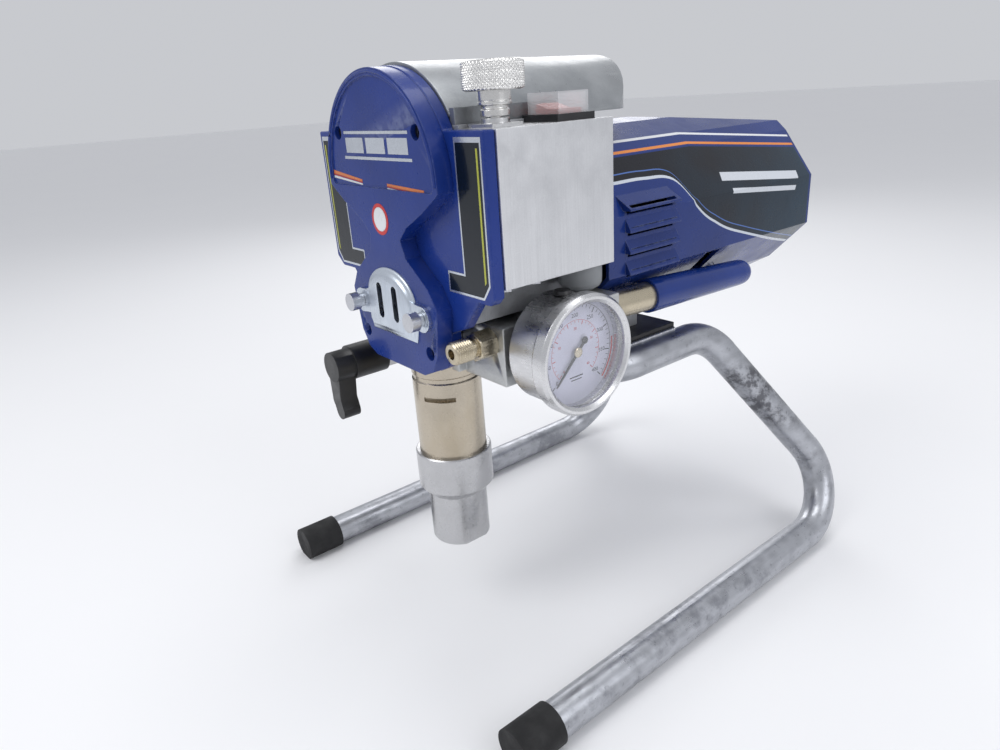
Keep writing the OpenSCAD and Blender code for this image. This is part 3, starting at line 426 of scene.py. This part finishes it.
for node_name, slot_name in SLOT_OF.items():
    mesh = NODES[node_name].data
    mesh.materials.clear()
    mesh.materials.append(MATS[slot_name])


# ---------- mesh helpers (lengths in mm) ----------

def piece(name, bm, slot, body="root", smooth=30.0, mat=None):
    """Turns a bmesh in mm into a piece that rides on a body and takes a slot's finish."""
    bmesh.ops.scale(bm, vec=(MM, MM, MM), verts=bm.verts)
    bmesh.ops.recalc_face_normals(bm, faces=bm.faces)
    data = bpy.data.meshes.new(name)
    bm.to_mesh(data)
    bm.free()
    obj = bpy.data.objects.new(name, data)
    SCENE.collection.objects.link(obj)
    data.materials.append(mat or MATS[slot])
    data.polygons.foreach_set("use_smooth", [True] * len(data.polygons))
    data.set_sharp_from_angle(angle=math.radians(smooth))
    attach(obj, body)
    return obj


def axis_basis(axis):
    """Two directions across an axis, and the axis itself, all right-handed."""
    w = Vector(axis).normalized()
    u = Vector((0, 0, 1)) if abs(w.z) < 0.9 else Vector((1, 0, 0))
    u = (u - w * u.dot(w)).normalized()
    return u, w.cross(u), w


def join(bm, rings):
    """Skins a row of equal rings of vertices and closes both ends."""
    n = len(rings[0])
    for a, b in zip(rings, rings[1:]):
        for k in range(n):
            bm.faces.new((a[k], a[(k + 1) % n], b[(k + 1) % n], b[k]))
    bm.faces.new(rings[0][::-1])
    bm.faces.new(rings[-1])


def lathe(bm, profile, origin, axis, n, radius=None):
    """Revolves (radius, height) points about an axis; radius(r, angle, i) may shape a ring."""
    u, v, w = axis_basis(axis)
    o = Vector(origin)
    rings = []
    for i, (r, h) in enumerate(profile):
        ring = []
        for k in range(n):
            a = 2 * math.pi * k / n
            rr = radius(r, a, i) if radius else r
            ring.append(bm.verts.new(o + w * h + (u * math.cos(a) + v * math.sin(a)) * rr))
        rings.append(ring)
    join(bm, rings)


def slab(bm, outline, place, thick):
    """A flat outline made solid: place(a, b, h) gives the point at height h above the surface."""
    low = [bm.verts.new(place(a, b, 0)) for a, b in outline]
    top = [bm.verts.new(place(a, b, thick)) for a, b in outline]
    n = len(outline)
    bm.faces.new(low[::-1])
    bm.faces.new(top)
    for k in range(n):
        bm.faces.new((low[k], low[(k + 1) % n], top[(k + 1) % n], top[k]))


def front(y):
    """Places (x, z) outlines on a plane that faces -Y."""
    return lambda a, b, h: Vector((a, y - h, b))


def side(x):
    """Places (y, z) outlines on a plane that faces +X."""
    return lambda a, b, h: Vector((x + h, a, b))


def arc(cx, cy, r, a0, a1, n):
    return [(cx + r * math.cos(math.radians(a0 + (a1 - a0) * i / n)),
             cy + r * math.sin(math.radians(a0 + (a1 - a0) * i / n))) for i in range(n + 1)]


# only edges sharper than this, and longer than this in mm, are rounded over
SHARP_ANGLE = math.radians(28)
SHORTEST_EDGE = 1.5


def soften(node, width):
    """A copy of a CAD node with its long sharp edges rounded over; it stands for the node."""
    src = NODES[node]
    bm = bmesh.new()
    bm.from_mesh(src.data)
    bmesh.ops.scale(bm, vec=(1000, 1000, 1000), verts=bm.verts)
    bmesh.ops.remove_doubles(bm, verts=bm.verts, dist=0.002)
    bmesh.ops.dissolve_limit(bm, angle_limit=math.radians(0.6), verts=bm.verts, edges=bm.edges)
    layer = bm.edges.layers.float.new("bevel_weight_edge")
    for e in bm.edges:
        sharp = len(e.link_faces) == 2 and e.calc_face_angle(0) > SHARP_ANGLE
        e[layer] = 1.0 if sharp and e.calc_length() > SHORTEST_EDGE else 0.0
    bmesh.ops.scale(bm, vec=(MM, MM, MM), verts=bm.verts)
    data = bpy.data.meshes.new("soft_" + node)
    bm.to_mesh(data)
    bm.free()
    obj = bpy.data.objects.new("soft_" + node, data)
    SCENE.collection.objects.link(obj)
    mod = obj.modifiers.new("bevel", "BEVEL")
    mod.width = width * MM
    mod.segments = 3
    mod.limit_method = "WEIGHT"
    mod.use_clamp_overlap = True
    mod.harden_normals = True
    data.materials.append(MATS[SLOT_OF[node]])
    data.polygons.foreach_set("use_smooth", [True] * len(data.polygons))
    data.set_sharp_from_angle(angle=math.radians(35))
    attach(obj, src["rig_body"])
    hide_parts(node)
    return obj


# ---------- softened castings ----------

for node_name, width in (("housing_flange", 1.0), ("control_box", 1.1), ("fluid_manifold", 1.2),
                         ("front_cover", 0.8), ("mounting_plate", 0.6),
                         ("prime_lever", 1.6), ("pressure_pot", 0.8)):
    soften(node_name, width)

# ---------- front cover ----------

COVER_Y = -141.5
PANEL_Y = -140.5
ARCH_Z = 295.0
BEAD_R = 55.2
BADGE = (-2.5, 274.0)
BADGE_THICK = 0.14
DECALS = {
    "decal_white": paint("decal_white", (0.80, 0.82, 0.84), 0.3, 0.5, wear=0).done(),
    "decal_orange": paint("decal_orange", (0.72, 0.20, 0.05), 0.3, 0.5, wear=0).done(),
    "decal_black": paint("decal_black", (0.004, 0.008, 0.014), 0.16, 0.3, wear=0).done(),
    "decal_silver": steel("decal_silver", (0.70, 0.74, 0.80), 0.2, metallic=0.8).done(),
    "decal_green": paint("decal_green", (0.48, 0.50, 0.06), 0.3, 0.5, wear=0).done(),
    "decal_red": paint("decal_red", (0.60, 0.02, 0.02), 0.3, 0.5, wear=0).done(),
}


def decal(name, outlines, place, mat, thick=0.12, slot="blue_paint"):
    bm = bmesh.new()
    for outline in outlines:
        slab(bm, outline, place, thick)
    return piece(name, bm, slot, mat=DECALS[mat])


def bar(x0, z0, x1, z1, h0, h1):
    """A tapering bar between two points, h0 and h1 high at its ends."""
    return [(x0, z0 - h0 / 2), (x1, z1 - h1 / 2), (x1, z1 + h1 / 2), (x0, z0 + h0 / 2)]


decal("stripe_white", [bar(-57, 295.6, -19, 292.2, 1.5, 0.9), bar(8, 291.2, 45, 288.6, 0.9, 1.5)],
      front(PANEL_Y), "decal_white")
decal("stripe_orange", [bar(-55, 298.2, -19, 294.2, 2.2, 1.3), bar(8, 293.2, 44, 291.0, 1.3, 2.2)],
      front(PANEL_Y), "decal_orange")
decal("stripe_dark", [bar(-56, 296.8, -19, 293.2, 0.6, 0.5), bar(8, 292.2, 45, 289.8, 0.5, 0.6)],
      front(PANEL_Y), "decal_red")
decal("plate_bars", [bar(-34, 320, 34, 320, 1.6, 1.6), bar(-36, 306.5, 36, 306.5, 1.6, 1.6),
                     bar(-33, 313.2, -13, 313.2, 8.2, 8.2), bar(-10, 313.2, 10, 313.2, 8.2, 8.2),
                     bar(13, 313.2, 33, 313.2, 8.2, 8.2)], front(PANEL_Y), "decal_silver")
decal("badge_rim", [arc(*BADGE, 8.8, 0, 360, 48)[:-1]], front(COVER_Y), "decal_red", BADGE_THICK)
decal("badge_face", [arc(*BADGE, 6.7, 0, 360, 48)[:-1]], front(COVER_Y - BADGE_THICK),
      "decal_white", 0.10)


def tube_along(bm, points, r, n):
    """A thin bead along a line of points."""
    pts = [Vector(p) for p in points]
    rings = []
    for i, p in enumerate(pts):
        a = pts[i - 1] if i else p
        b = pts[i + 1] if i < len(pts) - 1 else p
        u, v, _ = axis_basis(b - a)
        rings.append([bm.verts.new(p + (u * math.cos(t) + v * math.sin(t)) * r)
                      for t in (2 * math.pi * k / n for k in range(n))])
    join(bm, rings)


# bead that rims the arch
bm = bmesh.new()
tube_along(bm, [(x, COVER_Y + 0.05, z) for x, z in arc(0, ARCH_Z, BEAD_R, -1, 181, 64)], 0.9, 10)
piece("cover_rim", bm, "blue_paint", smooth=80)

# ---------- stickers on the flange wings ----------

WING_Y = -131.5
for s, tag in ((-1, "left"), (1, "right")):
    outer = [(s * a, b) for a, b in ((60.0, 317.0), (81.5, 317.0), (81.5, 246.0), (76.0, 238.5),
                                     (45.5, 238.5), (45.5, 250.0), (60.0, 250.0))]
    inner = [(s * a, b) for a, b in ((61.2, 314.5), (80.3, 314.5), (80.3, 246.6), (75.4, 239.8),
                                     (46.7, 239.8), (46.7, 248.8), (61.2, 248.8))]
    decal("wing_border_" + tag, [outer], front(WING_Y), "decal_silver", 0.08)
    decal("wing_black_" + tag, [inner], front(WING_Y - 0.08), "decal_black", 0.08)
    decal("wing_line_" + tag, [[(s * a, b) for a, b in ((77.4, 312.0), (78.8, 312.0), (78.8, 248.0),
                                                       (77.4, 246.4))]],
          front(WING_Y - 0.16), "decal_green", 0.06)

# ---------- finger guard ----------


def guard_outline(t, n=24):
    """The guard's outline, drawn in by t: straight foot, straight sides and a round top."""
    return ([(t - 23, 208 + t), (23 - t, 208 + t), (25 - t, 214)]
            + [((25 - t) * math.cos(math.pi * k / n), 228 + (18 - t) * math.sin(math.pi * k / n))
               for k in range(n + 1)] + [(t - 25, 214)])


def slot_outline(x, r, z0, z1, n=10):
    return ([(x + r * math.cos(math.pi * k / n), z1 + r * math.sin(math.pi * k / n))
             for k in range(n + 1)]
            + [(x - r * math.cos(math.pi * k / n), z0 - r * math.sin(math.pi * k / n))
               for k in range(n + 1)])


def pressed_plate(name, layers, slots, place, slot):
    """A plate pressed from stacked outlines, with long slots cut right through."""
    bm = bmesh.new()
    rings = [[bm.verts.new(place(a, b, h)) for a, b in outline] for outline, h in layers]
    join(bm, rings)
    obj = piece(name, bm, slot, smooth=40)
    for i, outline in enumerate(slots):
        cut = bmesh.new()
        slab(cut, outline, lambda a, b, h: place(a, b, h - 4), 14)
        bmesh.ops.scale(cut, vec=(MM, MM, MM), verts=cut.verts)
        bmesh.ops.recalc_face_normals(cut, faces=cut.faces)
        data = bpy.data.meshes.new("cutter")
        cut.to_mesh(data)
        cut.free()
        cutter = bpy.data.objects.new("cutter_%d" % i, data)
        SCENE.collection.objects.link(cutter)
        mod = obj.modifiers.new("slot_%d" % i, "BOOLEAN")
        mod.object = cutter
        mod.operation = "DIFFERENCE"
        mod.solver = "EXACT"
        bpy.context.view_layer.update()
        shaped = bpy.data.meshes.new_from_object(
            obj.evaluated_get(bpy.context.evaluated_depsgraph_get()))
        obj.modifiers.remove(mod)
        obj.data = shaped
        bpy.data.objects.remove(cutter)
    return obj


guard = pressed_plate(
    "guard_plate",
    [(guard_outline(-1.0), 0.02), (guard_outline(-1.0), 0.7), (guard_outline(-0.5), 1.3),
     (guard_outline(0.6), 1.6), (guard_outline(1.6), 2.0), (guard_outline(2.2), 2.7),
     (guard_outline(2.8), 3.2), (guard_outline(3.8), 3.45)],
    [slot_outline(s * 8.2, 2.9, 219.5, 235.0) for s in (-1, 1)], front(COVER_Y), "zinc_plate")
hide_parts("finger_guard")
for s, tag in ((-1, "left"), (1, "right")):
    bm = bmesh.new()
    ear = ([(s * 21, 216.6), (s * 27, 216.4)]
           + [(s * (33 + 7.4 * math.cos(math.radians(a))), 223 + 7.4 * math.sin(math.radians(a)))
              for a in range(-100, 101, 10)] + [(s * 27, 230.6), (s * 21, 232.5)])
    slab(bm, ear, front(COVER_Y), 2.4)
    piece("guard_ear_" + tag, bm, "zinc_plate", smooth=40)

# ---------- knurled knob ----------

KNOB_AT = (68.0, -111.0)
KNOB_Z = (336.5, 350.0)
KNOB_R = 15.2
KNURLS = 46


bm = bmesh.new()
KNURL_ROWS = 30
n = KNURLS * 6
z0, z1 = KNOB_Z
profile = [(6.0, z0), (KNOB_R - 1.5, z0), (KNOB_R - 0.7, z0 + 0.5)]
grid = []
for i in range(KNURL_ROWS + 1):
    z = z0 + 1.1 + (z1 - z0 - 2.2) * i / KNURL_ROWS
    ring = []
    for k in range(n):
        a = 2 * math.pi * k / n
        lead = (z - z0) / KNOB_R
        p = abs(((a + lead) * KNURLS / (2 * math.pi)) % 1 - 0.5) * 2
        q = abs(((a - lead) * KNURLS / (2 * math.pi)) % 1 - 0.5) * 2
        r = KNOB_R - 0.75 + 0.75 * min(1, 1.5 * min(p, q))
        ring.append((a, r, z))
    grid.append(ring)
rings = [[bm.verts.new((KNOB_AT[0] + r * math.cos(2 * math.pi * k / n),
                        KNOB_AT[1] + r * math.sin(2 * math.pi * k / n), z)) for k in range(n)]
         for r, z in profile]
rings += [[bm.verts.new((KNOB_AT[0] + r * math.cos(a), KNOB_AT[1] + r * math.sin(a), z))
           for a, r, z in ring] for ring in grid]
rings += [[bm.verts.new((KNOB_AT[0] + r * math.cos(2 * math.pi * k / n),
                         KNOB_AT[1] + r * math.sin(2 * math.pi * k / n), z)) for k in range(n)]
          for r, z in ((KNOB_R - 0.7, z1 - 0.5), (KNOB_R - 1.6, z1), (KNOB_R - 3.2, z1),
                       (KNOB_R - 3.6, z1 - 0.35), (4.5, z1 - 0.35), (3.2, z1 - 1.0),
                       (1.0, z1 - 1.2))]
join(bm, rings)
knob_grip = piece("knob_grip", bm, "knob_metal", "knob", 25)
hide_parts("pressure_knob")

bm = bmesh.new()
lathe(bm, [(3, 308), (3, 325), (7.0, 325), (7.2, 325.3), (7.2, 327.8), (6.6, 328.6), (6.6, 329.6),
           (8.1, 330.2), (8.3, 330.5), (8.3, 331.6), (8.05, 331.8), (8.05, 332.1), (8.3, 332.3),
           (8.3, 336.9)], (KNOB_AT[0], KNOB_AT[1], 0), (0, 0, 1), 96)
piece("knob_stem", bm, "knob_metal", "knob", 25)

# ---------- threaded outlet ----------

OUTLET = (52.0, 206.0)
PITCH = 1.41
N_TH = 48


def thread(bm, x, z, y0, y1, r, depth, bore, pitch):
    """A male thread along Y from y0 (open end) to y1, with a bore in its end."""
    steps = int((y1 - y0) / pitch * 12)
    rings = [[(bore, y0 + 6)] * N_TH, [(bore, y0)] * N_TH, [(r - depth - 0.4, y0)] * N_TH]
    for i in range(steps + 1):
        y = y0 + 0.5 + (y1 - y0 - 0.5) * i / steps
        fade = min(1.0, (y - y0) / 1.2, (y1 - y) / 0.8)
        ring = []
        for k in range(N_TH):
            phase = ((y - y0) / pitch - k / N_TH) % 1
            ring.append((r - depth + depth * max(0.0, fade) * (1 - abs(2 * phase - 1)), y))
        rings.append(ring)
    verts = [[bm.verts.new((x + rr * math.cos(2 * math.pi * k / N_TH), y,
                            z + rr * math.sin(2 * math.pi * k / N_TH)))
              for k, (rr, y) in enumerate(ring)] for ring in rings]
    join(bm, verts)


bm = bmesh.new()
thread(bm, OUTLET[0], OUTLET[1], -139.0, -126.5, 6.6, 0.85, 3.0, PITCH)
nipple = piece("outlet_thread", bm, "brass", smooth=40)
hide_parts("outlet_fitting")
bm = bmesh.new()
lathe(bm, [(5.4, 0), (5.4, 3.0), (7.6, 3.0), (8.6, 3.7), (8.6, 14.3), (7.6, 15.0), (4.95, 15.0),
           (4.95, 25.0)], (OUTLET[0], -127.0, OUTLET[1]), (0, 1, 0), 96,
      lambda r, a, i: min(r, 7.45 / math.cos((a % (math.pi / 3)) - math.pi / 6)) if r > 7 else r)
piece("outlet_hex", bm, "brass", smooth=22)

# ---------- gauge dial ----------

GAUGE_C = (-82.0, 200.8)
DIAL_X = 89.0


def on_dial(r, deg):
    """(y, z) at a clockwise angle from the top of the dial."""
    a = math.radians(deg)
    return GAUGE_C[0] + r * math.sin(a), GAUGE_C[1] + r * math.cos(a)


def ray(r0, r1, deg, w):
    """A tick: a thin radial bar."""
    y0, z0 = on_dial(r0, deg)
    y1, z1 = on_dial(r1, deg)
    t = math.radians(deg)
    dy, dz = math.cos(t) * w / 2, -math.sin(t) * w / 2
    return [(y0 - dy, z0 - dz), (y1 - dy, z1 - dz), (y1 + dy, z1 + dz), (y0 + dy, z0 + dz)]


def ring_part(r0, r1, a0, a1, n):
    return ([on_dial(r1, a0 + (a1 - a0) * i / n) for i in range(n + 1)]
            + [on_dial(r0, a1 - (a1 - a0) * i / n) for i in range(n + 1)])


START, SWEEP = 225.0, 270.0
ticks = [ray(24.6 if i % 5 else 23.4, 26.6, START + SWEEP * i / 40, 0.28 if i % 5 else 0.55)
         for i in range(41)]
decal("dial_ticks", ticks, side(DIAL_X), "decal_black", 0.06, "dial_white")
bm = bmesh.new()
for i in range(30):
    slab(bm, ring_part(27.0, 27.3, START + SWEEP * i / 30, START + SWEEP * (i + 1) / 30, 3),
         side(DIAL_X), 0.06)
piece("dial_arc", bm, "dial_white", mat=DECALS["decal_black"])
red = [ray(16.4 if i % 4 else 15.4, 17.6, START + SWEEP * i / 28, 0.25 if i % 4 else 0.45)
       for i in range(29)]
decal("dial_red_ticks", red, side(DIAL_X), "decal_red", 0.06, "dial_white")
bm = bmesh.new()
for i in range(20):
    slab(bm, ring_part(17.9, 18.1, START + SWEEP * i / 20, START + SWEEP * (i + 1) / 20, 3),
         side(DIAL_X), 0.06)
for i in range(6):
    low, high = (START + SWEEP * (part + 0.03 * i) for part in (0.82, 0.85))
    slab(bm, ring_part(28.0, 29.2, low, high, 3), side(DIAL_X), 0.06)
piece("dial_red_arc", bm, "dial_white", mat=DECALS["decal_red"])


def number(name, text, at, size, mat):
    data = bpy.data.curves.new(name, "FONT")
    data.body = text
    data.size = size * MM
    data.extrude = 0.03 * MM
    data.resolution_u = 3
    data.align_x = "CENTER"
    data.align_y = "CENTER"
    obj = bpy.data.objects.new(name, data)
    SCENE.collection.objects.link(obj)
    obj.matrix_world = (Matrix.Translation(Vector((DIAL_X + 0.04, at[0], at[1])) * MM)
                        @ Matrix(((0, 0, 1), (1, 0, 0), (0, 1, 0))).to_4x4())
    data.materials.append(DECALS[mat])
    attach(obj, "root")


for i in range(9):
    number("number_%d" % i, str(i * 50), on_dial(20.7, START + SWEEP * i / 8), 3.3, "decal_black")
for i in range(5):
    number("small_number_%d" % i, str(i * 10), on_dial(13.2, START + SWEEP * i / 4), 2.3,
           "decal_red")
decal("dial_bars", [bar(-87, 186.2, -77, 186.2, 0.7, 0.7), bar(-86, 184.4, -78, 184.4, 0.6, 0.6)],
      side(DIAL_X), "decal_black", 0.06, "dial_white")

NEEDLE_X = 90.5
NEEDLE_AT = 225.0


def along(r, off, deg=NEEDLE_AT):
    """(y, z) at r along the needle and off to its side."""
    t = math.radians(deg)
    return (GAUGE_C[0] + r * math.sin(t) + off * math.cos(t),
            GAUGE_C[1] + r * math.cos(t) - off * math.sin(t))


bm = bmesh.new()
slab(bm, [along(*p) for p in ((-3.0, 0.95), (14, 0.75), (22.0, 0.45), (23.4, 0.0), (22.0, -0.45),
                              (14, -0.75), (-3.0, -0.95))], side(NEEDLE_X), 0.5)
weight = [(-8.0 + 2.1 * math.cos(math.radians(a)), -2.1 * math.sin(math.radians(a)))
          for a in range(30, 331, 20)]
slab(bm, [along(*p) for p in [(-3.0, -0.8), (-6.0, -0.9), *weight, (-6.0, 0.9), (-3.0, 0.8)]],
     side(NEEDLE_X), 0.5)
needle = piece("gauge_pointer", bm, "needle_black", "needle")
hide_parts("gauge_needle")
bm = bmesh.new()
lathe(bm, [(1.0, -5.0), (1.0, 0.0), (2.6, 0.0), (2.9, 0.2), (2.9, 0.9), (2.5, 1.2), (1.2, 1.35),
           (0.5, 1.2)], (NEEDLE_X, GAUGE_C[0], GAUGE_C[1]), (1, 0, 0), 48)
piece("pointer_hub", bm, "brass", "needle", 40)

# ---------- weld beads where the plate meets the rails ----------

WELD_X = 60.8
WELD_Z = 177.6
WELD_Y = (-46.0, 38.0)
WELD_STEPS = 120
WELD_SIDES = 10
for s, tag in ((-1, "left"), (1, "right")):
    bm = bmesh.new()
    rings = []
    for i in range(WELD_STEPS + 1):
        y = WELD_Y[0] + (WELD_Y[1] - WELD_Y[0]) * i / WELD_STEPS
        wave = 0.22 * math.sin(i * 1.9) + 0.10 * math.sin(i * 0.7)
        rings.append([bm.verts.new((s * (WELD_X + (1.7 + wave) * math.cos(t)),
                                    y + 0.35 * math.sin(t), WELD_Z + (1.5 + wave) * math.sin(t)))
                      for t in (2 * math.pi * k / WELD_SIDES for k in range(WELD_SIDES))])
    join(bm, rings)
    piece("weld_" + tag, bm, "galvanised", smooth=60)

# ---------- floor, backdrop and light ----------

floor_mat = Mat("floor", (0.90, 0.90, 0.91), 0.0, 0.6)
floor_mat.tint(floor_mat.ramp(floor_mat.noise(3, 3), 0.4, 0.7, 0, 0.15), (0.86, 0.86, 0.88))
bm = bmesh.new()
FLOOR_HALF = 14.0
for x, y in ((-1, -1), (1, -1), (1, 1), (-1, 1)):
    bm.verts.new((x * FLOOR_HALF, y * FLOOR_HALF, 0))
bm.faces.new(list(bm.verts))
data = bpy.data.meshes.new("floor")
bm.to_mesh(data)
bm.free()
floor = bpy.data.objects.new("floor", data)
SCENE.collection.objects.link(floor)
data.materials.append(floor_mat.done())


def area(name, at, aim, size, power, color=(1, 1, 1)):
    light = bpy.data.lights.new(name, "AREA")
    light.shape = "RECTANGLE"
    light.size, light.size_y = size
    light.energy = power
    light.color = color
    obj = bpy.data.objects.new(name, light)
    SCENE.collection.objects.link(obj)
    obj.location = at
    obj.rotation_euler = (Vector(aim) - Vector(at)).to_track_quat("-Z", "Y").to_euler()


area("key", (-0.25, -1.15, 1.35), (0, 0, 0.2), (0.9, 0.9), 7.5)
area("side", (1.35, 0.25, 0.95), (0, 0, 0.2), (0.8, 1.0), 5.5, (0.97, 0.98, 1.0))
area("top", (0.05, 0.25, 1.5), (0, 0, 0.2), (0.7, 0.7), 4.5)
area("back", (-1.1, 0.9, 0.9), (0, 0, 0.2), (0.8, 0.8), 4)

world = bpy.data.worlds.new("studio")
world.use_nodes = True
sky = world.node_tree.nodes["Background"]
sky.inputs["Color"].default_value = (0.93, 0.95, 1.0, 1)
sky.inputs["Strength"].default_value = 0.62
SCENE.world = world
SCENE.view_settings.view_transform = "Standard"
SCENE.view_settings.look = "None"
SCENE.view_settings.exposure = 0.0
